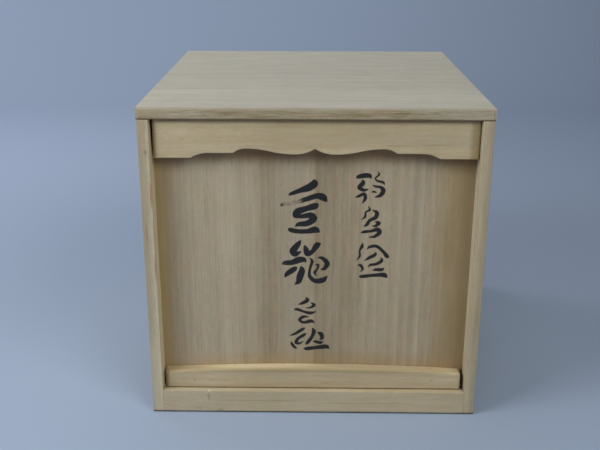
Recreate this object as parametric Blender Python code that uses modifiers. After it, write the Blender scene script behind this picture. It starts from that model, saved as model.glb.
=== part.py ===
# A front-opening paulownia wood storage box with a lift-in door.
# Metres, +Z up. The front faces -Y and the origin is the middle of the underside.
import math

import bmesh
import bpy
from mathutils import Matrix

# Case
case_width = 0.250
case_depth = 0.273
case_height = 0.241
top_thickness = 0.0085
side_thickness = 0.0085
back_thickness = 0.0085
bottom_thickness = 0.0085
top_front_round = 0.0022

# Fits
contact_gap = 0.0003        # between pieces that touch
door_clearance = 0.0005     # the door in its grooves, on each face
door_side_clearance = 0.0005
door_lift_clearance = 0.002  # what is left above the door once its foot is out of the sill
edge_ease = 0.0005          # sandpapered edges

# Meshes
sharp_angle = math.radians(40)   # edges sharper than this are eased or rounded
flat_angle = math.radians(0.05)  # faces flatter than this to each other are merged
weld_distance = 0.00001
arc_steps = 7
crown_steps = 24

# Sill across the foot of the opening
sill_height = 0.0190
sill_groove_depth = 0.0040
sill_rear_lip = 0.0070

# Scalloped valance under the top board
valance_recess = 0.0038
valance_thickness = 0.0097
valance_drop = 0.0283
valance_left_gap = 0.0013
valance_right_gap = 0.0003
valance_left_round = 0.0045
valance_right_round = 0.0022
carved_half_length = 0.0884   # from the case's middle to where the end flats start
shelf_rise = 0.0037
peak_rise = 0.0033
lobe_drop = 0.0041
cusp_rise = 0.0041

# Shares of the carved half length
lobe_share = 0.161
peak_share = 0.557
shelf_start_share = 0.658
shelf_end_share = 0.859

# Strip behind the door's upper edge
upper_stop_depth = 0.0070
upper_stop_overlap = 0.0100

# Door
door_thickness = 0.0065
rail_thickness = 0.0087
rail_end_height = 0.0134
rail_crown_rise = 0.0032
rail_left_gap = 0.0011
rail_right_gap = 0.0026
rail_corner_radius = 0.0020
rail_left_round = 0.0040
rail_right_round = 0.0018
rail_middle_round = 0.0014
rail_round_spread = 8       # the power by which the front edge grows rounder towards the ends

# Places that follow from the sizes above
inner_half_width = case_width / 2 - side_thickness
front_y = -case_depth / 2
back_y = case_depth / 2
back_front_y = back_y - back_thickness
top_underside = case_height - top_thickness
door_front_y = front_y + valance_recess + valance_thickness + door_clearance
door_back_y = door_front_y + door_thickness
sill_back_y = door_back_y + door_clearance + sill_rear_lip
groove_floor = sill_height - sill_groove_depth
door_top = top_underside - sill_groove_depth - door_lift_clearance


def wood_material(name, colour, roughness):
    material = bpy.data.materials.new(name)
    material.use_nodes = True
    shader = material.node_tree.nodes["Principled BSDF"]
    shader.inputs["Base Color"].default_value = (*colour, 1.0)
    shader.inputs["Roughness"].default_value = roughness
    shader.inputs["Metallic"].default_value = 0.0
    material.diffuse_color = (*colour, 1.0)
    return material


def add_object(name, mesh, collection, material=None):
    piece = bpy.data.objects.new(name, mesh)
    collection.objects.link(piece)
    if material:
        mesh.materials.append(material)
    return piece


def block(name, x_range, y_range, z_range, collection, material=None):
    # A rectangular block between two corners, its object at the block's middle.
    low, high = zip(x_range, y_range, z_range)
    size = [b - a for a, b in zip(low, high)]
    middle = [(a + b) / 2 for a, b in zip(low, high)]
    mesh = bpy.data.meshes.new(name)
    shape = bmesh.new()
    bmesh.ops.create_cube(shape, size=1.0, matrix=Matrix.Diagonal((*size, 1.0)))
    shape.to_mesh(mesh)
    shape.free()
    piece = add_object(name, mesh, collection, material)
    piece.location = middle
    return piece


def ease_edges(piece):
    bevel = piece.modifiers.new("eased edges", "BEVEL")
    bevel.width = edge_ease
    bevel.segments = 2
    bevel.limit_method = "ANGLE"
    bevel.angle_limit = sharp_angle


def round_edges(piece, width, share_of_width):
    # Rounds single edges. share_of_width gives each edge's share of the width from its two ends.
    shape = bmesh.new()
    shape.from_mesh(piece.data)
    weights = shape.edges.layers.float.new("bevel_weight_edge")
    for edge in shape.edges:
        if edge.calc_face_angle() > sharp_angle:
            edge[weights] = share_of_width(*(corner.co for corner in edge.verts))
    shape.to_mesh(piece.data)
    shape.free()
    bevel = piece.modifiers.new("rounded edges", "BEVEL")
    bevel.width = width
    bevel.segments = 4
    bevel.limit_method = "WEIGHT"


def standing_outline(name, outline, thickness, place, collection, material):
    # An outline of x and z points, made into a flat board that stands facing -Y.
    curve = bpy.data.curves.new(name, "CURVE")
    curve.dimensions = "2D"
    curve.fill_mode = "BOTH"
    curve.extrude = thickness / 2
    spline = curve.splines.new("POLY")
    spline.points.add(len(outline) - 1)
    for point, (x, z) in zip(spline.points, outline):
        point.co = (x, z, 0.0, 1.0)
    spline.use_cyclic_u = True
    drawn = add_object(name + " outline", curve, collection)
    upright = Matrix.Rotation(math.radians(90), 4, "X")
    bpy.context.view_layer.update()
    mesh = bpy.data.meshes.new_from_object(drawn.evaluated_get(bpy.context.evaluated_depsgraph_get()))
    mesh.name = name
    mesh.materials.clear()
    mesh.transform(upright)
    shape = bmesh.new()
    shape.from_mesh(mesh)
    bmesh.ops.remove_doubles(shape, verts=shape.verts, dist=weld_distance)
    bmesh.ops.recalc_face_normals(shape, faces=shape.faces)
    bmesh.ops.dissolve_limit(shape, angle_limit=flat_angle, verts=[], edges=shape.edges)
    shape.to_mesh(mesh)
    shape.free()
    piece = add_object(name, mesh, collection, material)
    piece.location = place
    bpy.data.objects.remove(drawn)
    return piece


def level_arc(start, end, steps):
    # Points of a round arc that sets off level at start and passes through end.
    across = end[0] - start[0]
    rise = end[1] - start[1]
    radius = (across ** 2 + rise ** 2) / (2 * abs(rise))
    sweep = math.asin(min(1.0, abs(across) / radius))
    points = []
    for step in range(steps + 1):
        angle = sweep * step / steps
        x = start[0] + math.copysign(radius * math.sin(angle), across)
        z = start[1] + math.copysign(radius * (1 - math.cos(angle)), rise)
        points.append((x, z))
    return points


def scallop_half(run):
    # The valance's lower edge from the middle cusp to its end flat, with heights above that flat.
    peak_height = shelf_rise + peak_rise
    lobe_height = peak_height - lobe_drop
    cusp = (0.0, lobe_height + cusp_rise)
    lobe = (run * lobe_share, lobe_height)
    peak = (run * peak_share, peak_height)
    waist = ((lobe[0] + peak[0]) / 2, (lobe[1] + peak[1]) / 2)
    shelf_start = (run * shelf_start_share, shelf_rise)
    shelf_end = (run * shelf_end_share, shelf_rise)
    flat_start = (run, 0.0)
    points = level_arc(lobe, cusp, arc_steps)[::-1]
    points += level_arc(lobe, waist, arc_steps)[1:]
    points += level_arc(peak, waist, arc_steps)[:-1][::-1]
    points += level_arc(peak, shelf_start, arc_steps)[1:]
    points += level_arc(shelf_end, flat_start, arc_steps)
    return points


def crowned_outline(half_length):
    # The handle rail seen from the front: level foot, crowned top and rounded upper corners.
    crown_radius = (half_length ** 2 + rail_crown_rise ** 2) / (2 * rail_crown_rise)
    crown_centre = rail_end_height + rail_crown_rise - crown_radius
    corner_x = half_length - rail_corner_radius
    corner_z = crown_centre + math.sqrt((crown_radius - rail_corner_radius) ** 2 - corner_x ** 2)
    meeting_angle = math.atan2(corner_z - crown_centre, corner_x)
    right = [(half_length, 0.0)]
    for step in range(arc_steps + 1):
        angle = meeting_angle * step / arc_steps
        right.append((corner_x + rail_corner_radius * math.cos(angle),
                      corner_z + rail_corner_radius * math.sin(angle)))
    crown = []
    for step in range(1, crown_steps):
        angle = meeting_angle + (math.pi - 2 * meeting_angle) * step / crown_steps
        crown.append((crown_radius * math.cos(angle), crown_centre + crown_radius * math.sin(angle)))
    return right + crown + [(-x, z) for x, z in reversed(right)]


def build_case(parts, cutters):
    inside = (-inner_half_width + contact_gap, inner_half_width - contact_gap)

    top = block("top_board", (-case_width / 2, case_width / 2), (front_y, back_y),
                (top_underside, case_height), parts,
                wood_material("top board paulownia", (0.62, 0.57, 0.46), 0.62))
    round_edges(top, top_front_round,
                lambda a, b: float(a.y < 0 and b.y < 0 and a.z > 0 and b.z > 0))
    ease_edges(top)

    for name, side in (("left_side_board", -1), ("right_side_board", 1)):
        x_range = sorted((side * inner_half_width, side * case_width / 2))
        board = block(name, x_range, (front_y, back_y), (0.0, top_underside - contact_gap), parts,
                      wood_material(name.replace("_", " ") + " paulownia", (0.58, 0.50, 0.37), 0.62))
        ease_edges(board)

    bottom = block("bottom_board", inside, (sill_back_y + contact_gap, back_front_y - contact_gap),
                   (0.0, bottom_thickness), parts,
                   wood_material("bottom board paulownia", (0.55, 0.48, 0.36), 0.68))
    ease_edges(bottom)

    back = block("back_board", inside, (back_front_y, back_y),
                 (0.0, top_underside - contact_gap), parts,
                 wood_material("back board paulownia", (0.56, 0.49, 0.37), 0.66))
    ease_edges(back)

    sill = block("front_sill", inside, (front_y, sill_back_y), (0.0, sill_height), parts,
                 wood_material("front sill paulownia", (0.57, 0.50, 0.38), 0.62))
    groove = block("sill groove cutter", (-case_width / 2, case_width / 2),
                   (door_front_y - door_clearance, door_back_y + door_clearance),
                   (groove_floor, case_height), cutters)
    groove.display_type = "WIRE"
    groove.hide_render = True
    cut = sill.modifiers.new("door groove", "BOOLEAN")
    cut.operation = "DIFFERENCE"
    cut.object = groove
    ease_edges(sill)

    stop_height = top_underside - door_top + upper_stop_overlap
    stop_y = door_back_y + door_clearance
    stop = block("upper_door_stop", inside, (stop_y, stop_y + upper_stop_depth),
                 (top_underside - contact_gap - stop_height, top_underside - contact_gap), parts,
                 wood_material("upper door stop paulownia", (0.55, 0.48, 0.36), 0.66))
    ease_edges(stop)


def build_valance(parts):
    left = -inner_half_width + valance_left_gap
    right = inner_half_width - valance_right_gap
    half_length = (right - left) / 2
    middle = (left + right) / 2
    scallops = scallop_half(carved_half_length)
    outline = [(half_length, valance_drop), (-half_length, valance_drop), (-half_length, 0.0)]
    outline += [(-x - middle, z) for x, z in reversed(scallops)]
    outline += [(x - middle, z) for x, z in scallops[1:]]
    outline.append((half_length, 0.0))
    place = (middle, front_y + valance_recess + valance_thickness / 2,
             top_underside - contact_gap - valance_drop)
    valance = standing_outline("valance", outline, valance_thickness, place, parts,
                               wood_material("valance paulownia", (0.60, 0.51, 0.37), 0.60))

    widest_round = max(valance_left_round, valance_right_round)

    def front_edge(a, b):
        if a.y > 0 or b.y > 0:
            return 0.0
        if min(abs(a.x), abs(b.x)) > half_length - weld_distance:
            rounding = valance_left_round if a.x < 0 else valance_right_round
        else:
            rounding = edge_ease
        return rounding / widest_round

    round_edges(valance, widest_round, front_edge)


def build_door(parts):
    half_width = inner_half_width - door_side_clearance
    panel = block("door_panel", (-half_width, half_width), (door_front_y, door_back_y),
                  (groove_floor + contact_gap, door_top), parts,
                  wood_material("door panel paulownia", (0.50, 0.43, 0.32), 0.64))
    ease_edges(panel)

    left = -inner_half_width + rail_left_gap
    right = inner_half_width - rail_right_gap
    half_length = (right - left) / 2
    place = ((left + right) / 2, door_front_y - contact_gap - rail_thickness / 2,
             sill_height + contact_gap)
    rail = standing_outline("door_handle_rail", crowned_outline(half_length), rail_thickness, place,
                            parts, wood_material("handle rail paulownia", (0.62, 0.53, 0.39), 0.58))

    widest_round = max(rail_left_round, rail_right_round)

    def front_edge(a, b):
        if a.y > 0 or b.y > 0 or max(a.z, b.z) < weld_distance:
            return 0.0
        along = abs(a.x + b.x) / 2 / half_length
        end_round = rail_left_round if a.x + b.x < 0 else rail_right_round
        rounding = rail_middle_round + (end_round - rail_middle_round) * along ** rail_round_spread
        return rounding / widest_round

    round_edges(rail, widest_round, front_edge)


def main():
    for old in list(bpy.data.objects):
        bpy.data.objects.remove(old)
    parts = bpy.data.collections.new("front-opening storage box")
    cutters = bpy.data.collections.new("cutters")
    bpy.context.scene.collection.children.link(parts)
    bpy.context.scene.collection.children.link(cutters)
    build_case(parts, cutters)
    build_valance(parts)
    build_door(parts)


main()
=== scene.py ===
import math
from functools import partial

import bmesh
import bpy
import numpy as np
from mathutils import Matrix, Vector, kdtree, noise


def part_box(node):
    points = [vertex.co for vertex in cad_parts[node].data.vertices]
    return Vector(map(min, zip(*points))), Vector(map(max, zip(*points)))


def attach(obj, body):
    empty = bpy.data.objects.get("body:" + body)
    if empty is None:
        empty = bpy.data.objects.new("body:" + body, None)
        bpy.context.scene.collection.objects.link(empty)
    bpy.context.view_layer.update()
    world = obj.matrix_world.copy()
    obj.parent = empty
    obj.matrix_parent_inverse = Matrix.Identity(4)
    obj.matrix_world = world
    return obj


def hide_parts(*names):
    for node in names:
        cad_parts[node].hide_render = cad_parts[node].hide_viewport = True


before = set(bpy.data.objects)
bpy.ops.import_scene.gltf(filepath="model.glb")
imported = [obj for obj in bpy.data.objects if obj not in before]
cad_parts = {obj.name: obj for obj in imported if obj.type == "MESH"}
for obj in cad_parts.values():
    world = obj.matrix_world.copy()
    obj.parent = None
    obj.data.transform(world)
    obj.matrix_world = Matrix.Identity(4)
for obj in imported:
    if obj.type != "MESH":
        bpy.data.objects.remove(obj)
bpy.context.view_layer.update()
print("frame loaded:", ", ".join(sorted(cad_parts)))


# Small helpers

def linearColour(hexColour):
    # "#RRGGBB" as seen on a screen, turned into the linear values that the shader works with
    channels = [int(hexColour[i:i + 2], 16) / 255 for i in (1, 3, 5)]
    linear = [c / 12.92 if c <= 0.04045 else ((c + 0.055) / 1.055) ** 2.4 for c in channels]
    return (*linear, 1.0)


# What the word after a node's kind sets
chiefOptions = {
    "Math": "operation",
    "VectorMath": "operation",
    "MapRange": "interpolation_type",
    "Mix": "data_type",
    "Attribute": "attribute_name",
}


def addNode(tree, kind, *values, inputs=None, output=0, **settings):
    # Adds one node, sets its options, sets or links its inputs in order or by name, and gives one output back
    kind, _, option = kind.partition(" ")
    node = tree.nodes.new("ShaderNode" + kind)
    if option:
        settings[chiefOptions[kind]] = option
    for name, value in settings.items():
        setattr(node, name, value)
    for socket, value in [*enumerate(values), *(inputs or {}).items()]:
        if isinstance(value, bpy.types.NodeSocket):
            tree.links.new(value, node.inputs[socket])
        else:
            node.inputs[socket].default_value = value
    return node.outputs[output] if node.outputs else None


def newMaterial(name):
    # An empty material, and addNode made ready to work in it
    material = bpy.data.materials.new(name)
    material.use_nodes = True
    material.node_tree.nodes.clear()
    return material, partial(addNode, material.node_tree)


def addObject(name, data):
    # Puts an object with that data into the scene
    item = bpy.data.objects.new(name, data)
    bpy.context.scene.collection.objects.link(item)
    return item


def smoothStep(value, low, high):
    # Rises smoothly from 0 at low to 1 at high
    share = min(1.0, max(0.0, (value - low) / (high - low)))
    return share * share * (3 - 2 * share)


# Camera, floor and light

camera = {
    "place": (-0.0022, -0.7274, 0.3639),
    "downTilt": 19.42,          # degrees, as are the next two
    "turnLeft": 0.80,
    "roll": -0.091,
    "lens": 52.08,              # mm
    "sensor": 36.0,
}

floor = {
    "width": 14.0,
    "front": -4.0,
    "sweepStart": 1.00,     # where the paper starts to curve up, far enough off to walk round the box
    "sweepRadius": 0.70,
    "wallTop": 0.80,
    "below": 0.0003,
    "colour": "#ADBDD7",
    "roughness": 0.75,
    "sheen": 0.3,
    "curveSteps": 24,
}

roomLight = {"colour": "#E4EAF2", "strength": 0.08}

# Each one's place and what it faces, its size, all in m, its watts and its colour
softboxes = {
    "key, near on the left": ((-0.67, -0.47, 0.69), (0, 0, 0.12), 0.5, 4.1, "#FDFFFF"),
    "overhead": ((0.00, -0.13, 1.61), (0, 0, 0.12), 0.8, 1.65, "#F4FAFF"),
    "over the camera": ((0.00, -0.70, 0.80), (0, -0.2, 0.05), 0.4, 0.6, "#FBFDFF"),
    "fill on the right": ((0.80, -1.14, 1.10), (0, 0, 0.12), 0.8, 8.2, "#FFFFF6"),
    "over the paper": ((0.00, 1.00, 1.40), (0.1, 1.4, 0.1), 0.5, 2.3, "#FDFEFF"),
    "on the paper, far left": ((-1.70, 0.90, 0.50), (-0.6, 1.4, 0.1), 0.5, 6.0, "#FEFFFF"),
    "on the paper, near left": ((-0.60, 0.50, 0.70), (-0.3, 1.0, 0.0), 0.4, 1.8, "#FDFEFF"),
}


def setCamera():
    lens = bpy.data.cameras.new("camera")
    lens.lens = camera["lens"]
    lens.sensor_width = camera["sensor"]
    lens.clip_start = 0.01
    lens.clip_end = 60.0
    viewer = addObject("camera", lens)
    turn = Matrix.Rotation(math.radians(camera["turnLeft"]), 4, "Z")
    tilt = Matrix.Rotation(math.radians(90 - camera["downTilt"]), 4, "X")
    roll = Matrix.Rotation(math.radians(-camera["roll"]), 4, "Z")
    viewer.matrix_world = Matrix.Translation(camera["place"]) @ turn @ tilt @ roll
    bpy.context.scene.camera = viewer


def layFloor():
    material, add = newMaterial("seamless paper, matt")
    add("OutputMaterial", add("BsdfPrincipled", inputs={
        "Base Color": linearColour(floor["colour"]),
        "Roughness": floor["roughness"],
        "Specular IOR Level": floor["sheen"],
    }))
    # One sheet of paper, flat under the box and curving up behind it
    mesh = bpy.data.meshes.new("floor")
    sheet = bmesh.new()
    radius = floor["sweepRadius"]
    profile = [(floor["front"], 0.0)]
    for step in range(floor["curveSteps"] + 1):
        angle = math.radians(90) * step / floor["curveSteps"]
        profile.append((floor["sweepStart"] + radius * math.sin(angle), radius * (1 - math.cos(angle))))
    profile.append((floor["sweepStart"] + radius, floor["wallTop"]))
    half = floor["width"] / 2
    rows = [[sheet.verts.new((x, y, z - floor["below"])) for x in (-half, half)] for y, z in profile]
    for near, far in zip(rows, rows[1:]):
        sheet.faces.new((near[0], near[1], far[1], far[0])).smooth = True
    sheet.to_mesh(mesh)
    sheet.free()
    mesh.materials.append(material)
    addObject("floor", mesh)


def lightTheRoom():
    world = bpy.data.worlds.new("soft room light")
    world.use_nodes = True
    sky = world.node_tree.nodes["Background"]
    sky.inputs["Color"].default_value = linearColour(roomLight["colour"])
    sky.inputs["Strength"].default_value = roomLight["strength"]
    bpy.context.scene.world = world
    for name, (place, target, size, watts, colour) in softboxes.items():
        light = bpy.data.lights.new(name, "AREA")
        light.shape = "SQUARE"
        light.size = size
        light.energy = watts
        light.color = linearColour(colour)[:3]
        lamp = addObject(name, light)
        lamp.location = place
        aim = Vector(target) - lamp.location
        lamp.rotation_euler = aim.to_track_quat("-Z", "Y").to_euler()
    bpy.context.scene.view_settings.view_transform = "Standard"


setCamera()
layFloor()
lightTheRoom()
print("camera, floor and light are set")


# Paulownia, planed by hand and left bare. It is pale and matt, with straight silky fibres, soft wide rings,
# short dark pore dashes along the grain, and edges that years of handling have yellowed and polished.

woodDefaults = {
    "axes": "xyz",              # across the face, through the board, along the grain
    "offset": (0.0, 0.0, 0.0),  # mm, so that no two boards share a pattern
    "pale": "#D3C4A6",
    "deep": "#A08A66",
    "grey": "#A9A294",
    "worn": "#CDBB94",
    "warm": "#C79F80",
    "pore": "#55483A",
    "tone": 0.30,               # where the wood lies between pale and deep
    "pith": (-260.0, 70.0),     # mm from the board's middle to the tree's middle
    "ringWidth": 7.0,           # mm
    "ringSpread": 1.6,          # rings that noise adds or takes away, so that their widths vary
    "ringShape": ((0, 0.45), (0.12, 1), (0.42, 0.50), (0.78, 0.34), (0.88, 0), (0.95, 0), (1, 0.45)),
    "ringDepth": 0.20,
    "drift": 2.0,               # mm that the grain wanders sideways
    "driftLength": 160.0,       # mm of the slow wandering
    "waver": 0.35,              # mm of quicker wandering
    "fibreDepth": 0.34,
    "streakDepth": 0.38,
    "cloudDepth": 0.30,
    "fleckDepth": 0.10,
    "mottle": 0.16,             # how far the colour strays from patch to patch
    "warmth": 0.16,             # how much of the warm tint lies in soft patches
    "greying": 0.25,
    "poreDepth": 0.18,
    "poreCell": (1.3, 7.0),     # mm between pores, across and along the grain
    "poreShare": 0.50,
    "bands": (),                # places across the face, in mm, and how much deeper the wood is there
    "edgeTone": 0.0,            # how much deeper the board's long edges are than its faces
    "edgeFlecks": 0.0,
    "border": (),               # places across the face, in mm, and how strong the border tint is there: yellow a frame has left, with painted warm shade
    "wear": 0.08,               # how far the rubbed arrises take on the worn colour
    "roughness": 0.60,
    "relief": 0.00012,          # m
    "marks": (),                # a mark's centre and reach in mm, its colour and how strong it is
}

# Each pattern's width, depth and length along the grain, in mm, its detail and its roughness. Real fibres are
# 0.03 mm wide, and the finest drawn here are 0.6 mm, so that they show.
grainPatterns = {
    "waver": (9, 9, 22, 2.0, 0.6),
    "fibres": (0.7, 0.7, 4.5, 3.0, 0.7),
    "bundles": (1.6, 1.6, 20, 3.0, 0.62),
    "streaks": (3.6, 7, 60, 4.0, 0.62),
    "clouds": (18, 18, 42, 3.0, 0.55),
    "flecks": (0.9, 0.9, 2.4, 2.0, 0.6),
    "edge flecks": (1.3, 1.3, 16, 3.0, 0.7),
    "grey streaks": (14, 14, 260, 2.0, 0.5),
    "warm patches": (10, 10, 24, 3.0, 0.6),
    "mottling": (4, 4, 10, 3.0, 0.6),
    "rubbing": (5, 5, 12, 3.0, 0.6),
    "ink edge": (0.6, 0.6, 3.0, 2.0, 0.6),
    "plane ripples": (30, 30, 7, 1.0, 0.5),
}
far = 900                       # mm, past both ends of any board


def coated(add, colour, coats):
    # Lays coats over a colour, each with its share and its own colour
    for share, tint in coats:
        colour = add("Mix RGBA", share, inputs={6: colour, 7: linearColour(tint)}, output=2)
    return colour


def planedPaulownia(name, look):
    look = {**woodDefaults, **look}
    material, add = newMaterial(name)
    surface = add("TexCoord").node.outputs
    millimetres = add("VectorMath MULTIPLY", surface["Object"], (1000, 1000, 1000))
    places, facing = [add("SeparateXYZ", vector).node.outputs for vector in (millimetres, surface["Normal"])]
    acrossAxis, depthAxis, grainAxis = ["xyz".index(axis) for axis in look["axes"]]
    straight = add("CombineXYZ", places[acrossAxis], places[depthAxis], places[grainAxis])
    placed = add("VectorMath ADD", straight, look["offset"])
    patterns = {**grainPatterns, "wander": (70, 70, look["driftLength"], 2.0, 0.5)}

    def pattern(space, kind, output="Fac"):
        # Noise whose patches are about as wide, deep and long as the kind says
        width, thickness, length, detail, roughness = patterns[kind]
        scaled = add("VectorMath MULTIPLY", space, (1 / width, 1 / thickness, 1 / length))
        noises = {"Vector": scaled, "Scale": 1.0, "Detail": detail, "Roughness": roughness}
        return add("TexNoise", inputs=noises, output=output)

    # The grain wanders slowly along the board and wavers a little, and all that follows goes with it
    wander = add("Math MULTIPLY_ADD", pattern(placed, "wander"), 2 * look["drift"], -look["drift"])
    waver = add("Math MULTIPLY_ADD", pattern(placed, "waver"), 2 * look["waver"], -look["waver"])
    sideways = add("CombineXYZ", add("Math ADD", wander, waver))
    grain = add("VectorMath ADD", placed, sideways)
    onBoard = add("VectorMath ADD", straight, sideways)
    across = add("SeparateXYZ", onBoard)

    # Growth rings are sleeves round the pith
    fromPith = add("VectorMath SUBTRACT", onBoard, (*look["pith"], 0.0))
    radius = add("VectorMath LENGTH", add("VectorMath MULTIPLY", fromPith, (1, 1, 0)), output="Value")
    if "ringWidths" in look:
        ring = placedRings(add, look["ringWidths"], add("Math ADD", radius, look["pith"][0]))
    else:
        slowly = add("Math DIVIDE", radius, 4 * look["ringWidth"])
        spacing = add("TexNoise", inputs={"W": slowly, "Scale": 1.0, "Detail": 1.0}, noise_dimensions="1D")
        ring = add("Math DIVIDE", radius, look["ringWidth"])
        ring = add("Math MULTIPLY_ADD", spacing, look["ringSpread"], ring)
    count = add("Math FLOOR", ring)
    ringTone = add("TexWhiteNoise", inputs={"W": count}, noise_dimensions="1D", output="Value")
    ringShape = add("ValToRGB", add("Math FRACT", ring))
    stops = ringShape.node.color_ramp.elements
    for place, _ in look["ringShape"][1:-1]:
        stops.new(place)
    for stop, (place, value) in zip(stops, look["ringShape"]):
        stop.position, stop.color = place, (value, value, value, 1)
    early = add("Math MULTIPLY", ringShape, add("Math MULTIPLY_ADD", ringTone, 0.8, 0.6))

    # Fibres, streaks and clouds, from half a millimetre to a hand's width
    fibres = add("Math ADD", pattern(grain, "fibres"), pattern(grain, "bundles"))
    fibres = add("Math MULTIPLY_ADD", fibres, 0.6, -0.6)
    streaks, clouds, flecks = [add("Math SUBTRACT", pattern(grain, kind), 0.5)
                               for kind in ("streaks", "clouds", "flecks")]
    depth = add("Math MULTIPLY_ADD", early, look["ringDepth"], look["tone"])
    for shade, amount in ((fibres, "fibreDepth"), (streaks, "streakDepth"), (clouds, "cloudDepth"),
                          (flecks, "fleckDepth")):
        depth = add("Math MULTIPLY_ADD", shade, 2 * look[amount], depth)
    if look["bands"]:
        depth = add("Math ADD", depth, drawnLine(add, look["bands"], across))
    if look["edgeTone"]:
        # The long edges show the rings cut another way: darker and more broken up
        onEdge = add("MapRange SMOOTHSTEP", add("Math ABSOLUTE", facing[acrossAxis]), 0.30, 0.75)
        broken = add("Math MULTIPLY_ADD", pattern(grain, "edge flecks"), 2.0, -1.0)
        deeper = add("Math MULTIPLY_ADD", broken, look["edgeFlecks"], look["edgeTone"])
        depth = add("Math MULTIPLY_ADD", onEdge, deeper, depth)
    woods = {6: linearColour(look["pale"]), 7: linearColour(look["deep"])}
    colour = add("Mix RGBA", add("Clamp", depth, 0.0, 1.6), inputs=woods, output=2, clamp_factor=False)
    greyed = add("MapRange SMOOTHSTEP", pattern(grain, "grey streaks"), 0.46, 0.74, 0.0, look["greying"])
    warmed = add("MapRange SMOOTHSTEP", pattern(placed, "warm patches"), 0.46, 0.70, 0.0, look["warmth"])
    colour = coated(add, colour, ((greyed, look["grey"]), (warmed, look["warm"])))

    # No patch of the wood has quite the colour of its neighbour: some are greener, some more pink
    mottled = add("VectorMath MULTIPLY_ADD", pattern(placed, "mottling", "Color"), [look["mottle"]] * 3,
                  [1 - look["mottle"] / 2] * 3)
    colour = add("VectorMath MULTIPLY", colour, mottled)

    # Pores: open vessels cut lengthwise, drawn 0.5 mm wide because the real 0.2 mm would not show
    poreWidth, poreLength = look["poreCell"]
    poreSpace = add("VectorMath MULTIPLY", grain, (1 / poreWidth, 1 / poreWidth, 1 / poreLength))
    cells = add("TexVoronoi", inputs={"Vector": poreSpace, "Scale": 1.0}).node.outputs
    dash = add("MapRange SMOOTHSTEP", cells["Distance"], 0.10, 0.26, 1.0, 0.0)
    likely = add("Math MULTIPLY_ADD", early, look["poreShare"], 0.05)
    chosen = add("Math LESS_THAN", add("SeparateColor", cells["Color"]), likely)
    pores = add("Math MULTIPLY", dash, chosen)

    # What lies over the wood's own colour: pores, end grain that soaks up dirt, the border that a frame has
    # yellowed, which also carries painted warm shade, arrises rubbed by hands, and marks in one place:
    # the board's own soft spots or streaks, and painted shade and light.
    # The arris attribute gives a point's distance from the nearest edge in mm.
    endGrain = add("MapRange SMOOTHSTEP", add("Math ABSOLUTE", facing[grainAxis]), 0.55, 0.95, 0.0, 0.5)
    coats = [(add("Math MULTIPLY", pores, look["poreDepth"]), look["pore"]), (endGrain, look["deep"])]
    if look["border"]:
        strayed = add("Math MULTIPLY_ADD", streaks, 14.0, across)
        coats.append((drawnLine(add, look["border"], strayed), look["yellowedAndShaded"]))
    arris = add("Math SUBTRACT", add("Attribute arris", output="Fac"), 1.5)
    ragged = add("Math MULTIPLY_ADD", pattern(placed, "rubbing"), 3.0, arris)
    rubbed = add("MapRange SMOOTHSTEP", ragged, 0.0, 1.6, look["wear"], 0.0)
    coats.append((rubbed, look["worn"]))
    for centre, reach, markColour, strength in look["marks"]:
        away = add("VectorMath SUBTRACT", millimetres, centre)
        away = add("VectorMath MULTIPLY", away, [1 / size for size in reach])
        frayed = add("Math MULTIPLY_ADD", fibres, 0.9, add("VectorMath LENGTH", away, output="Value"))
        coats.append((add("MapRange SMOOTHSTEP", frayed, 0.4, 1.0, strength, 0.0), markColour))
    colour = coated(add, colour, coats)

    roughness = add("Math MULTIPLY_ADD", fibres, 0.16, look["roughness"])
    roughness = add("Math MULTIPLY_ADD", rubbed, -0.16, roughness)
    if "ink" in look:
        colour, roughness = brushed(add, look["ink"], colour, roughness, pattern(grain, "ink edge"))

    # Relief: pores are pits, soft early wood lies a little lower, and the plane leaves shallow ripples
    height = add("Math MULTIPLY", fibres, 0.5)
    for shape, amount in ((pores, -0.8), (early, -0.25), (pattern(placed, "plane ripples"), 0.3)):
        height = add("Math MULTIPLY_ADD", shape, amount, height)
    bump = add("Bump", inputs={"Height": height, "Strength": 0.5, "Distance": look["relief"]})
    finish = {"Base Color": colour, "Roughness": roughness, "IOR": 1.5, "Normal": bump}
    add("OutputMaterial", add("BsdfPrincipled", inputs=finish))
    return material


def drawnLine(add, points, place):
    # The height of a line through given points, at a place given in the same mm as the points
    low, high = points[0][0], points[-1][0]
    least, most = min(value for _, value in points), max(value for _, value in points)
    line = add("FloatCurve", inputs={"Value": add("MapRange", place, low, high)})
    mapping = line.node.mapping
    for _ in points[2:]:
        mapping.curves[0].points.new(0.5, 0.5)
    for point, (at, value) in zip(mapping.curves[0].points, points):
        point.location = ((at - low) / (high - low), (value - least) / (most - least))
        point.handle_type = "VECTOR"
    mapping.update()
    return add("Math MULTIPLY_ADD", line, most - least, least)


def placedRings(add, widths, place):
    # Counts rings across a board whose ring width changes at listed spots, all in mm
    counts = [(widths[0][0], 0.0)]
    for (start, width), (end, _) in zip(widths, widths[1:]):
        counts.append((end, counts[-1][1] + (end - start) / width))
    return drawnLine(add, counts, place)


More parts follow.
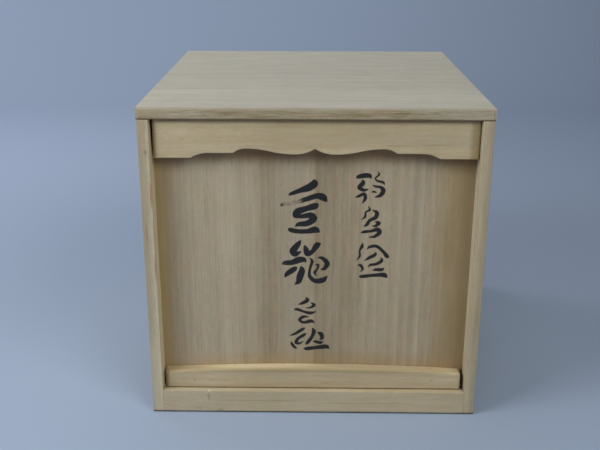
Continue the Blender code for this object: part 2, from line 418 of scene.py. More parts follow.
def brushed(add, ink, colour, roughness, feather):
    # Sumi ink soaked into bare wood: flat, near black, its edge feathered a little along the fibres
    outside, across, along = add("SeparateXYZ", add("Attribute brush", output="Vector")).node.outputs
    edge = add("Math ADD", outside, add("Math MULTIPLY_ADD", feather, ink["bleed"], -ink["bleed"] / 2))
    wet = add("MapRange", edge, -ink["soft"], ink["soft"], ink["cover"], 0.0)
    # Where the brush runs dry its hairs part, and bare wood shows between them
    hairSpace = add("VectorMath MULTIPLY", add("CombineXYZ", across, along), (3.2, 0.25, 1))
    hairs = add("TexNoise", inputs={"Vector": hairSpace, "Scale": 1.0, "Detail": 2.0})
    parted = add("Math SUBTRACT", add("Attribute dryness", output="Fac"), hairs)
    bare = add("MapRange", parted, -0.06, 0.06, 1.0, 0.15)
    share = add("Math MULTIPLY", wet, bare)
    sheen = add("Mix FLOAT", share, inputs={2: roughness, 3: ink["roughness"]})
    return coated(add, colour, ((share, ink["colour"]),)), sheen


# Boards: a block is cut across where it needs points, its edges are rounded, and its faces are worked by hand

hair = 1e-5                     # m, and points closer than that count as level
tightJoint = 0.00004            # m of rounding where two boards meet tightly


def cutPlaces(low, high, step, nearEdges=(0.0016, 0.0045)):
    # Where to cut between two edges: close to each edge, and evenly in between
    places = [low + d for d in nearEdges] + [high - d for d in nearEdges]
    first, last = low + nearEdges[-1], high - nearEdges[-1]
    count = max(1, round((last - first) / step))
    places += [first + (last - first) * i / count for i in range(1, count)]
    return sorted(places)


def sawBlock(low, high):
    # A plain block between two corners
    block = bmesh.new()
    size = Vector(high) - Vector(low)
    middle = (Vector(high) + Vector(low)) / 2
    bmesh.ops.create_cube(block, size=1.0, matrix=Matrix.Translation(middle) @ Matrix.Diagonal((*size, 1.0)))
    return block


def cutAcross(block, axis, places):
    # Adds points where planes across the axis meet the block
    normal = Vector([float(axis == i) for i in range(3)])
    for place in places:
        bmesh.ops.bisect_plane(block, geom=block.verts[:] + block.edges[:] + block.faces[:],
                               plane_co=normal * place, plane_no=normal, dist=1e-6)


def roundEdges(block, width, segments, shareOf):
    # Rounds every square edge, each by its own share of the width
    weights = block.edges.layers.float.new("bevel_weight_edge")
    for edge in block.edges:
        if len(edge.link_faces) == 2 and edge.calc_face_angle() > math.radians(40):
            edge[weights] = shareOf(*(corner.co for corner in edge.verts))
    mesh = bpy.data.meshes.new("rounding")
    block.to_mesh(mesh)
    helper = addObject("rounding", mesh)
    bevel = helper.modifiers.new("rounded edges", "BEVEL")
    bevel.width = width
    bevel.segments = segments
    bevel.limit_method = "WEIGHT"
    bpy.context.view_layer.update()
    rounded = bpy.data.meshes.new_from_object(helper.evaluated_get(bpy.context.evaluated_depsgraph_get()))
    block.clear()
    block.from_mesh(rounded)
    bpy.data.objects.remove(helper)
    bpy.data.meshes.remove(mesh)
    bpy.data.meshes.remove(rounded)


def workByHand(block, seed, rubbing=0.00014):
    # Takes a little off every face and more off the edges, always inwards, so that the board keeps its size
    planing = 0.00004
    facePatches, edgePatches = 45, 130      # patches a metre
    block.normal_update()
    edgePoints = set()
    for edge in block.edges:
        if len(edge.link_faces) == 2 and edge.calc_face_angle() > math.radians(9):
            edgePoints.update(edge.verts)
    drift = Vector((seed * 3.7, seed * 1.9, seed * 5.3))
    moves = []
    for point in block.verts:
        taken = planing * (0.5 + 0.5 * noise.noise(point.co * facePatches + drift))
        if point in edgePoints:
            taken += rubbing * max(0.0, 0.35 + noise.noise(point.co * edgePatches + drift))
        moves.append((point, point.normal * taken))
    for point, move in moves:
        point.co -= move


def measureArris(mesh):
    # How far each point lies from the nearest rounded edge, in mm, for the wear in the wood's material
    shape = bmesh.new()
    shape.from_mesh(mesh)
    shape.normal_update()
    shape.verts.ensure_lookup_table()
    near = {point.index for edge in shape.edges if len(edge.link_faces) == 2
            and edge.calc_face_angle() > math.radians(9) for point in edge.verts}
    tree = kdtree.KDTree(len(near))
    for index in near:
        tree.insert(shape.verts[index].co, index)
    tree.balance()
    distances = [1000 * tree.find(point.co)[2] for point in shape.verts]
    mesh.attributes.new("arris", "FLOAT", "POINT").data.foreach_set("value", distances)
    shape.free()


def finishPiece(name, node, block, materialName, look):
    # Turns the worked block into the piece that stands for its CAD node
    mesh = bpy.data.meshes.new(name)
    block.to_mesh(mesh)
    block.free()
    mesh.materials.append(planedPaulownia(materialName, look))
    mesh.shade_smooth()
    measureArris(mesh)
    piece = addObject(name, mesh)
    normals = piece.modifiers.new("even shading", "WEIGHTED_NORMAL")
    normals.keep_sharp = True
    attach(piece, "root")
    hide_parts(node)
    print(name, "made,", len(mesh.polygons), "faces")
    return piece


# Top board: lies over the case, its front upper edge rounded over

topBoard = {
    "step": 0.009,
    "frontRound": 0.0022,
    "footRound": 0.0010,
    "ease": 0.0003,
    "wood": {
        "axes": "yzx",
        "offset": (31, 12, 410),
        "pith": (-330, 150),
        "ringWidth": 6.5,
        "drift": 2.6,
        "driftLength": 120,
        "pale": "#DBD3BA",
        "deep": "#A99C7F",
        "edgeTone": 0.62,
        "edgeFlecks": 0.95,
        "fibreDepth": 0.25,
        "streakDepth": 0.27,
        "cloudDepth": 0.34,
        "fleckDepth": 0.24,
        "bands": ((-136.5, 0.02), (-130, -0.04), (-100, -0.12), (-67, -0.12), (-66, 0.14), (-64, 0.02),
                  (-48, 0), (-30, -0.05), (-8, -0.03), (30, -0.08), (80, -0.15), (136.5, -0.24)),
        "roughness": 0.55,
        "marks": (
            ((0, -135.7, 240.2), (far, 1.9, 1.8), "#8B7A4F", 0.52),  # the rounding is browner, and darker still as painted shade that hides its highlight
            ((0, -136.5, 232.6), (far, 2.5, 1.4), "#6B5230", 0.42),  # painted shade in the gap under the top board's lower arris
            ((-96, -135.6, 240.4), (26, 1.6, 0.8), "#8C774A", 0.35),  # a line that wanders along it
            ((-58, -136, 240), (22, 1.6, 0.8), "#8C774A", 0.45),
            ((-12, -135.8, 240.3), (34, 1.6, 0.8), "#86703F", 0.55),
            ((-30, -136.5, 238.2), (30, 3, 0.5), "#8F7B50", 0.45),
            ((32, -136, 239.9), (26, 1.6, 0.8), "#86703F", 0.5),
            ((78, -135.8, 240.2), (30, 1.6, 0.8), "#8C774A", 0.45),
            ((112, -136, 240), (14, 1.6, 0.9), "#8C774A", 0.45),
            ((0, 0, 241.2), (far, far, 2.6), "#DDE4EE", 0.2),  # painted reflection: the upper face tinted bluish like the cool light it reflects
            ((112, -136.5, 236), (50, 2, 4), "#CFCCBE", 0.25),  # the front edge pales to the right
            ((-121.6, -136.5, 234), (1.6, 2, 1), "#96603F", 0.45),  # a small red mark
            ((123.7, -136.5, 236), (0.7, 2, 6), "#6E5A3A", 0.45),  # the board's end
        ),
    },
}


def makeTopBoard():
    low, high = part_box("top_board")
    block = sawBlock(low, high)
    cutAcross(block, 0, cutPlaces(low.x, high.x, topBoard["step"]))
    cutAcross(block, 1, cutPlaces(low.y, high.y, topBoard["step"], (0.0032, 0.0060)))
    cutAcross(block, 2, [(low.z + high.z) / 2])

    def share(a, b):
        rounding = topBoard["ease"]
        if max(a.y, b.y) < low.y + 0.001 and abs(a.z - b.z) < 0.001:
            rounding = topBoard["frontRound"] if a.z > high.z - 0.001 else topBoard["footRound"]
        return rounding / topBoard["frontRound"]

    roundEdges(block, topBoard["frontRound"], 6, share)
    workByHand(block, 1)
    for point in block.verts:
        # Where three roundings meet they can bulge a hair past the board
        point.co = [min(max(place, least), most) for place, least, most in zip(point.co, low, high)]
    finishPiece("top_board_planed", "top_board", block,
                "paulownia top board, planed", topBoard["wood"])


makeTopBoard()


# Side boards: stand from the ground to the top board, with upright grain

sideBoards = {
    "step": 0.009,
    "ease": 0.0003,
    "outerFrontEase": 0.0011,
    "sillTop": 0.019,
    "left": {
        "axes": "yxz",
        "offset": (140, 52, 80),
        "pith": (-180, 240),
        "ringWidth": 6,
        "warmth": 0.06,
        "greying": 0.12,
        "marks": (
            ((-116.5, -127, 110), (2.6, 11.5, far), "#EBDEBA", 0.85),  # painted light: the inner face lightened as if lit from the right
            ((-116.5, -125, 222), (1.6, 5, 14), "#1C140A", 0.8),  # painted shade in the gap beside the valance
            ((-117.5, -138, 110), (4.5, 3, 170), "#E6DDC2", 0.35),
            ((-125, -137, 110), (5.5, 6, far), "#9A937F", 0.4),  # the outer arris is greyer
            ((-117.3, -136.5, 177), (0.9, 2, 14), "#B5653C", 0.62),  # streaks of resin
            ((-121.8, -136.5, 148), (1.1, 2, 12), "#AE7048", 0.42),
            ((-117.1, -136.5, 121), (0.9, 2, 13), "#B0683F", 0.5),
            ((-119.4, -136.5, 209), (1.6, 2, 2.4), "#7C6A50", 0.5),  # a small knot
            ((-121, -136.5, 216), (2.2, 2, 9), "#BFA28C", 0.25),
            ((-120, -136.5, 26), (10, 3, 60), "#E2D6B4", 0.4),
            ((-125, -136.5, 110), (2, 2.6, far), "#B5B1A2", 0.4),
            ((-121, -136.5, -0.2), (far, 3, 2.2), "#3A3A34", 0.85),  # painted shade along the foot, where the box meets the floor
        ),
    },
    "right": {
        "axes": "yxz",
        "offset": (-95, 17, 610),
        "pith": (-210, -260),
        "ringWidth": 6.6,
        "fibreDepth": 0.26,
        "streakDepth": 0.28,
        "marks": (
            ((116.5, -127, 110), (2.6, 11.5, far), "#E6DCBC", 0.6),  # painted light: the inner face lightened, as it faces the light from the left
            ((125, -137, 110), (5, 5, far), "#8D8672", 0.38),  # painted shade on the outer arris, which turns away from the light
            ((125, -136.5, 110), (2, 2.6, far), "#B9B3A2", 0.4),
            ((121, -136.5, -0.2), (far, 3, 2.2), "#3A3A34", 0.85),  # painted shade along the foot, where the box meets the floor
        ),
    },
}


def makeSideBoard(side):
    node = side + "_side_board"
    low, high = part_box(node)
    block = sawBlock(low, high)
    cutAcross(block, 0, cutPlaces(low.x, high.x, 0.003, (0.0016,)))
    cutAcross(block, 1, cutPlaces(low.y, high.y, sideBoards["step"]))
    cutAcross(block, 2, cutPlaces(low.z, high.z, sideBoards["step"]) + [sideBoards["sillTop"]])
    outside = low.x if side == "left" else high.x

    def share(a, b):
        # The outer arris and the foot are rubbed round, and beside the sill the joint is tight
        rounding = sideBoards["ease"]
        if max(a.y, b.y) < low.y + hair:
            onOuter = max(abs(a.x - outside), abs(b.x - outside)) < hair
            if onOuter or max(a.z, b.z) < low.z + hair:
                rounding = sideBoards["outerFrontEase"]
            elif max(a.z, b.z) < sideBoards["sillTop"] + hair:
                rounding = tightJoint
        return rounding / sideBoards["outerFrontEase"]

    roundEdges(block, sideBoards["outerFrontEase"], 4, share)
    workByHand(block, 2 if side == "left" else 3, rubbing=0.00008)
    finishPiece(node + "_planed", node, block, "paulownia " + side + " side board, planed", sideBoards[side])


makeSideBoard("left")
makeSideBoard("right")


# Back, bottom and the strip behind the door: plainer boards inside the case

innerBoards = {
    "back_board": {"axes": "xyz", "offset": (60, 8, 950), "pith": (120, 330), "ringWidth": 8},
    "bottom_board": {"axes": "yzx", "offset": (-44, 21, 1300), "pith": (40, -260),
                     "ringWidth": 9, "tone": 0.45},
    "upper_door_stop": {"axes": "zyx", "offset": (15, 77, 1700), "pith": (60, 220),
                        "ringWidth": 6, "tone": 0.45},
}


thickest = 0.05                 # m, more than any board is thick
innerEase = 0.0005


def makeInnerBoard(node, seed):
    low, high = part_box(node)
    block = sawBlock(low, high)
    for axis in range(3):
        cuts = (0.012,) if high[axis] - low[axis] > thickest else (0.004, (0.0016,))
        cutAcross(block, axis, cutPlaces(low[axis], high[axis], *cuts))
    roundEdges(block, innerEase, 3, lambda a, b: 1.0)
    workByHand(block, seed)
    finishPiece(node + "_planed", node, block,
                "paulownia " + node.replace("_", " ") + ", planed", innerBoards[node])


for number, board in enumerate(innerBoards):
    makeInnerBoard(board, 4 + number)


# Sill: flush with the side boards' front edges, with the groove for the door's lower edge

sill = {
    "step": 0.004,
    "ease": 0.0004,
    "footRound": 0.0011,
    "fit": 0.00026,             # how far each end closes the CAD's gap to the side board
    "rows": (0.0016, 0.006, 0.009),
    "nick": {"x": -0.081, "reach": 0.0006, "foot": 0.0125, "depth": 0.0003, "rows": (0.013, 0.015, 0.017)},
    "grooveDepth": 0.0040,
    "grooveFront": 0.0135,      # from the sill's front to the groove
    "grooveWidth": 0.0075,
    "wood": {
        "axes": "zyx",
        "offset": (5, 33, 2100),
        "pith": (-60, 190),
        "ringWidth": 6,
        "drift": 3,
        "tone": 0.14,
        "cloudDepth": 0.42,
        "fleckDepth": 0.18,
        "marks": (
            ((20, -136.5, 10), (150, 3, 30), "#C9B68C", 0.25),  # the middle is yellower
            ((-88.4, -136.5, 3.6), (1.3, 2, 1.1), "#6A5030", 0.38),  # a dot
            ((-72, -136.5, 2.2), (3, 2, 1.6), "#84765E", 0.3),
            ((-81, -136.5, 13.6), (1.7, 2, 4.8), "#8F7558", 0.38),  # the shade below the dent
            ((-80.8, -136.3, 18.6), (1.3, 2, 1), "#F0E4C2", 0.6),  # the dent's bright tip
            ((-40, -136.5, 10.6), (46, 2, 0.7), "#94855F", 0.4),  # darker lines of grain
            ((36, -136.5, 8.8), (50, 2, 0.7), "#94855F", 0.35),
            ((0, -136.5, -0.2), (far, 3, 2.2), "#3A3A34", 0.85),  # painted shade along the foot, where the box meets the floor
            ((0, -131, 19.1), (far, 1.5, 1.4), "#3E2F1A", 0.62),  # painted shade in the joint under the door's rail
            # painted shade in the gap beside the rail's right end
            ((115.6, -128, 19.1), (2.6, 4.5, 2), "#1C140A", 0.9),
        ),
    },
}


def makeSill():
    low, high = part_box("front_sill")
    low.x -= sill["fit"]
    high.x += sill["fit"]
    grooveStart = low.y + sill["grooveFront"]
    grooveEnd = grooveStart + sill["grooveWidth"]
    grooveFloor = high.z - sill["grooveDepth"]
    profile = [(low.y, low.z), (high.y, low.z), (high.y, high.z), (grooveEnd, high.z),
               (grooveEnd, grooveFloor), (grooveStart, grooveFloor), (grooveStart, high.z), (low.y, high.z)]
    block = bmesh.new()
    corners = [block.verts.new((low.x, y, z)) for y, z in profile]
    end = block.faces.new(corners)
    run = bmesh.ops.extrude_face_region(block, geom=[end])
    moved = [item for item in run["geom"] if isinstance(item, bmesh.types.BMVert)]
    bmesh.ops.translate(block, verts=moved, vec=(high.x - low.x, 0, 0))
    bmesh.ops.recalc_face_normals(block, faces=block.faces)
    nick = sill["nick"]
    nickCuts = [nick["x"] + nick["reach"] * i / 3 for i in range(-4, 5)]
    regular = [x for x in cutPlaces(low.x, high.x, sill["step"]) if abs(x - nick["x"]) > 0.001]
    cutAcross(block, 0, regular + nickCuts)
    nickRows = [nick["foot"], *nick["rows"], high.z - 0.0008]
    cutAcross(block, 2, [low.z + rise for rise in sill["rows"]] + nickRows)
    cutAcross(block, 1, [low.y + 0.0016, low.y + 0.006, high.y - 0.0016])

    def share(a, b):
        # The foot is rubbed round, and at the ends the joint is tight
        rounding = sill["ease"]
        if max(a.y, b.y) < low.y + hair:
            if max(a.z, b.z) < low.z + hair:
                rounding = sill["footRound"]
            elif abs(a.x - b.x) < hair and min(abs(a.x), abs(b.x)) > high.x - hair:
                rounding = tightJoint
        return rounding / sill["footRound"]

    roundEdges(block, sill["footRound"], 4, share)
    for point in block.verts:
        # A blow has left a short upright dent that is deepest at the front arris
        near = max(0.0, 1 - abs(point.co.x - nick["x"]) / nick["reach"])
        if near and point.co.y < low.y + 0.001:
            point.co.y += nick["depth"] * near * smoothStep(point.co.z, nick["foot"], high.z - 0.001)
    workByHand(block, 8, rubbing=0.00008)
    finishPiece("front_sill_planed", "front_sill", block, "paulownia sill, planed", sill["wood"])


makeSill()


# Valance: the board with the scalloped lower edge

valance = {
    "step": 0.0012,
    "leftRound": 0.0045,
    "rightRound": 0.0022,
    "ease": 0.0005,
    "fit": 0.00025,              # how far its right end closes the CAD's gap to the side board
    "carvedHalf": 0.0884,        # from the case's middle to where the end flats start
    "shelfRise": 0.0037,
    "peakRise": 0.0033,
    "lobeDrop": 0.0041,
    "cuspRise": 0.0041,
    "lobeShare": 0.161,
    "peakShare": 0.557,
    "shelfStartShare": 0.658,
    "shelfEndShare": 0.859,
    "rows": (0.0016, 0.004, 0.008, 0.012, 0.016, 0.020),
    "fadeStart": 0.002,          # the lift of the foot fades out above it
    "fadeHeight": 0.018,
    "wood": {
        "axes": "zyx",
        "offset": (88, 71, 2600),
        "pith": (40, 240),
        "ringWidth": 7.5,
        "drift": 2,
        "pale": "#D8C7A4",
        "deep": "#B29B72",
        "marks": (
            ((0, -133, 232.4), (far, 12, 4), "#7C5824", 0.52),  # painted shade under the top board, warm brown
            ((58, -133, 213.6), (16, 3, 0.6), "#A98C62", 0.5),  # lines of grain
            ((86, -133, 214.2), (12, 3, 0.6), "#A2855C", 0.5),
            ((-94, -133, 218), (2.6, 3, 2), "#BA9068", 0.35),
            ((115, -133, 218), (8, 5, 40), "#86703F", 0.62),  # the right end: some yellow stain, and painted shade in the corner by the side board
            ((8, -133, 222), (60, 3, 16), "#A08C64", 0.22),
            ((-115, -132, 218), (4, 5, 30), "#A08454", 0.4),  # painted shadow of the left side board on the left end
        ),
        "cloudDepth": 0.40,
        "fleckDepth": 0.18,
    },
}


def arcHeight(level, end, x):
    # Height at x of the arc that sets off level at one point and passes through another
    across, rise = end[0] - level[0], end[1] - level[1]
    radius = (across ** 2 + rise ** 2) / (2 * abs(rise))
    return level[1] + math.copysign(radius - math.sqrt(max(0.0, radius ** 2 - (x - level[0]) ** 2)), rise)


def scallopPoints():
    run = valance["carvedHalf"]
    peakHeight = valance["shelfRise"] + valance["peakRise"]
    lobeHeight = peakHeight - valance["lobeDrop"]
    lobe = (run * valance["lobeShare"], lobeHeight)
    peak = (run * valance["peakShare"], peakHeight)
    return {
        "cusp": (0.0, lobeHeight + valance["cuspRise"]),
        "lobe": lobe,
        "waist": ((lobe[0] + peak[0]) / 2, (lobe[1] + peak[1]) / 2),
        "peak": peak,
        "shelfStart": (run * valance["shelfStartShare"], valance["shelfRise"]),
        "shelfEnd": (run * valance["shelfEndShare"], valance["shelfRise"]),
        "flatStart": (run, 0.0),
    }


def scallopRise(points, x):
    # How far the lower edge lies above its end flats
    x = abs(x)
    for end, level, other in (("lobe", "lobe", "cusp"), ("waist", "lobe", "waist"), ("peak", "peak", "waist"),
                              ("shelfStart", "peak", "shelfStart"), ("shelfEnd", "shelfEnd", "shelfEnd"),
                              ("flatStart", "shelfEnd", "flatStart")):
        if x <= points[end][0]:
            return points[level][1] if level == other else arcHeight(points[level], points[other], x)
    return 0.0


def makeValance():
    low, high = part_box("valance")
    high.x += valance["fit"]
    points = scallopPoints()
    block = sawBlock(low, high)
    corners = ("cusp", "shelfStart", "shelfEnd", "flatStart")
    turns = [side * points[name][0] for side in (-1, 1) for name in corners]
    regular = [x for x in cutPlaces(low.x, high.x, valance["step"], (0.0056,))
               if all(abs(x - turn) > 0.0004 for turn in turns)]
    cutAcross(block, 0, sorted(regular + turns[1:]))
    cutAcross(block, 1, [(low.y + high.y) / 2])
    cutAcross(block, 2, [low.z + rise for rise in valance["rows"]] + [high.z - 0.0016])

    def share(a, b):
        rounding = valance["ease"]
        if abs(a.x - b.x) < 1e-6 and max(a.y, b.y) < low.y + hair:
            rounding = valance["leftRound"] if a.x < 0 else valance["rightRound"]
        return rounding / valance["leftRound"]

    roundEdges(block, valance["leftRound"], 5, share)
    for point in block.verts:
        # The foot of the board follows the scallops
        faded = (point.co.z - low.z - valance["fadeStart"]) / valance["fadeHeight"]
        point.co.z += (1 - min(1.0, max(0.0, faded))) * scallopRise(points, point.co.x)
    workByHand(block, 9, rubbing=0.0001)
    finishPiece("valance_carved", "valance", block, "paulownia valance, planed and carved", valance["wood"])


makeValance()


# Handle rail: crowned along its top, its ends rounded by hand

handleRail = {
    "step": 0.002,
    "endHeight": 0.0134,
    "cornerRadius": 0.0020,
    "leftRound": 0.0040,
    "rightRound": 0.0018,
    "middleRound": 0.0014,
    "footRound": 0.0004,
    "spread": 9,
    "backRows": (0.0050, 0.0025),
    "footRows": (0.0001, 0.0004, 0.0016, 0.005, 0.009),
    "edgeRows": (0.00006, 0.00022, 0.0005, 0.0009, 0.0014, 0.0020, 0.0026, 0.0033, 0.0041),
    "wood": {
        "axes": "zyx",
        "offset": (-12, 140, 3100),
        "pith": (-20, 210),
        "ringWidth": 6.5,
        "drift": 1.6,
        "pale": "#D9C8A6",
        "deep": "#B59D74",
        "cloudDepth": 0.40,
        "fleckDepth": 0.18,
        "marks": (
            ((-60, -125.5, 36.5), (85, 7, 3.6), "#F4E3BC", 0.7),  # painted light on the crown's top, stronger on the left
            ((2, -131, 28), (60, 3, 16), "#A08C64", 0.16),
            ((0, -131.3, 34.6), (far, 1.6, 2.8), "#A39266", 0.42),  # shade under the crown
            ((-91.9, -131.5, 25.8), (1.5, 2, 1.4), "#6E5334", 0.24),  # two plugged pinholes
            ((91.2, -131.5, 26.6), (1.5, 2, 1.4), "#6E5334", 0.22),
            ((-115.4, -130, 28), (4.5, 6, 40), "#86693A", 0.55),  # painted shadow of the left side board on the left end
        ),
    },
}


def quarterRound(inside, radius):
    # How far a rounded edge falls back at a point that lies inside the outline
    return radius - math.sqrt(radius ** 2 - max(0.0, radius - max(0.0, inside)) ** 2)


def makeHandleRail():
    low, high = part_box("door_handle_rail")
    middle = (low.x + high.x) / 2
    half = (high.x - low.x) / 2
    crown = high.z - low.z - handleRail["endHeight"]
    crownRadius = (half ** 2 + crown ** 2) / (2 * crown)
    corner = handleRail["cornerRadius"]
    rows = handleRail["edgeRows"]
    block = sawBlock(low, high)
    cutAcross(block, 0, cutPlaces(low.x, high.x, handleRail["step"], rows))
    cutAcross(block, 1, [high.y - row for row in handleRail["backRows"]])
    cutAcross(block, 2, [low.z + row for row in handleRail["footRows"]] + [high.z - row for row in rows])
    for point in block.verts:
        x, y, z = point.co
        # The upper corners are round: the square of points there is squeezed into a quarter disc
        beyond = (abs(x - middle) - half + corner) / corner
        above = (z - high.z + corner) / corner
        inside = min(half - abs(x - middle), high.z - z)
        if beyond > 0 and above > 0:
            squeeze = max(beyond, above) / math.hypot(beyond, above)
            inside = corner * (1 - max(beyond, above))
            x = middle + math.copysign(half - corner + corner * beyond * squeeze, x - middle)
            z = high.z - corner + corner * above * squeeze
        # The front edge is rounded over, more so towards the ends
        along = min(1.0, abs(x - middle) / half)
        atEnd = handleRail["leftRound"] if x < middle else handleRail["rightRound"]
        rounding = handleRail["middleRound"]
        rounding += (atEnd - rounding) * along ** handleRail["spread"]
        if y < low.y + 1e-6:
            y += max(quarterRound(inside, rounding), quarterRound(z - low.z, handleRail["footRound"]))
        # The top follows the crown
        outwards = min(half, abs(x - middle))
        drop = crownRadius - math.sqrt(crownRadius ** 2 - outwards ** 2)
        point.co = (x, y, z - drop * smoothStep(z, low.z, high.z - 0.004))
    workByHand(block, 10, rubbing=0.0001)
    finishPiece("door_handle_rail_shaped", "door_handle_rail", block,
                "paulownia handle rail, planed and sanded", handleRail["wood"])


makeHandleRail()


# Door panel, with two columns of brush strokes in ink. The strokes are generic and are not writing.

doorPanel = {
    "ease": 0.0003,
    "sideEase": 0.00005,
    "fit": 0.00047,                 # how far each side closes the CAD's gap to the side board
    "inkLow": (-0.0285, 0.042),     # x and z of the inked area's corners
    "inkHigh": (0.0585, 0.195),
    "inkMargin": 0.003,
    "cell": 0.00056,                # between the points that hold the ink
    "step": 0.010,
    "wood": {
        "axes": "xyz",
        "offset": (0, 0, 3600),
        "pith": (-700, 60),
        "ringWidths": ((-118, 6), (-88, 4.8), (-62, 2.1), (-38, 2.7), (-25, 4.4), (0, 5.2), (28, 6.4),
                       (60, 7.8), (118, 7.8)),
        "bands": ((-118, 0.05), (-100, 0), (-85, -0.10), (-82.5, -0.21), (-80, -0.10), (-72, -0.06),
                  (-68, -0.22), (-62, -0.22), (-58, -0.09), (-53, 0.06), (-47, -0.06), (-38, 0.28),
                  (-32, 0.32), (-24, 0.16), (-19, 0.08), (-1, 0.08), (0.5, 0.42), (10, 0.38), (24, 0.30),
                  (34, 0.14), (41, 0.02), (50, 0.02), (60, 0.10), (63.5, -0.10), (67, 0.14), (71, 0),
                  (74.7, 0.17), (79.2, -0.06), (83.7, 0.20), (87.3, 0.08), (92, 0.24), (104, 0.26),
                  (118, 0.20)),
        "drift": 1.1,
        "driftLength": 380,
        "waver": 0.12,
        "ringDepth": 0.16,
        "streakDepth": 0.22,
        "cloudDepth": 0.22,
        "fleckDepth": 0.06,
        "poreCell": (0.9, 4.6),
        "poreDepth": 0.30,
        "poreShare": 0.95,
        # The border tint: the yellow a frame has left, and painted warm shade beside the side boards,
        # strongest on the left
        "border": ((-118, 0.92), (-112, 0.68), (-105, 0.18), (-95, 0), (84, 0), (98, 0.34), (110, 0.54),
                   (118, 0.54)),
        "yellowedAndShaded": "#A78B58",
        "marks": (
            ((0, -122.5, 210.5), (far, 9, 15.5), "#8A6028", 0.66),  # painted shade under the valance, and the two below are deeper under its ends
            ((-106, -122.5, 203), (22, 9, 14.5), "#8E6530", 0.3),
            ((106, -122.5, 203), (22, 9, 14.5), "#8E6530", 0.3),
            ((10, -122.5, 34), (130, 9, 17), "#B08E62", 0.32),  # painted warm light bounced from the rail onto the wood above it
            ((115.6, -122.5, 23), (2.8, 5, 13), "#1C140A", 0.92),  # painted shade in the gaps beside the rail
            ((-116.4, -122.5, 23), (1.2, 5, 13), "#1C140A", 0.85),
        ),
        "pale": "#CCBDA2",
        "deep": "#968363",
        "ink": {"colour": "#0E1216", "roughness": 0.5, "bleed": 0.5, "soft": 0.2, "cover": 0.98},
    },
}

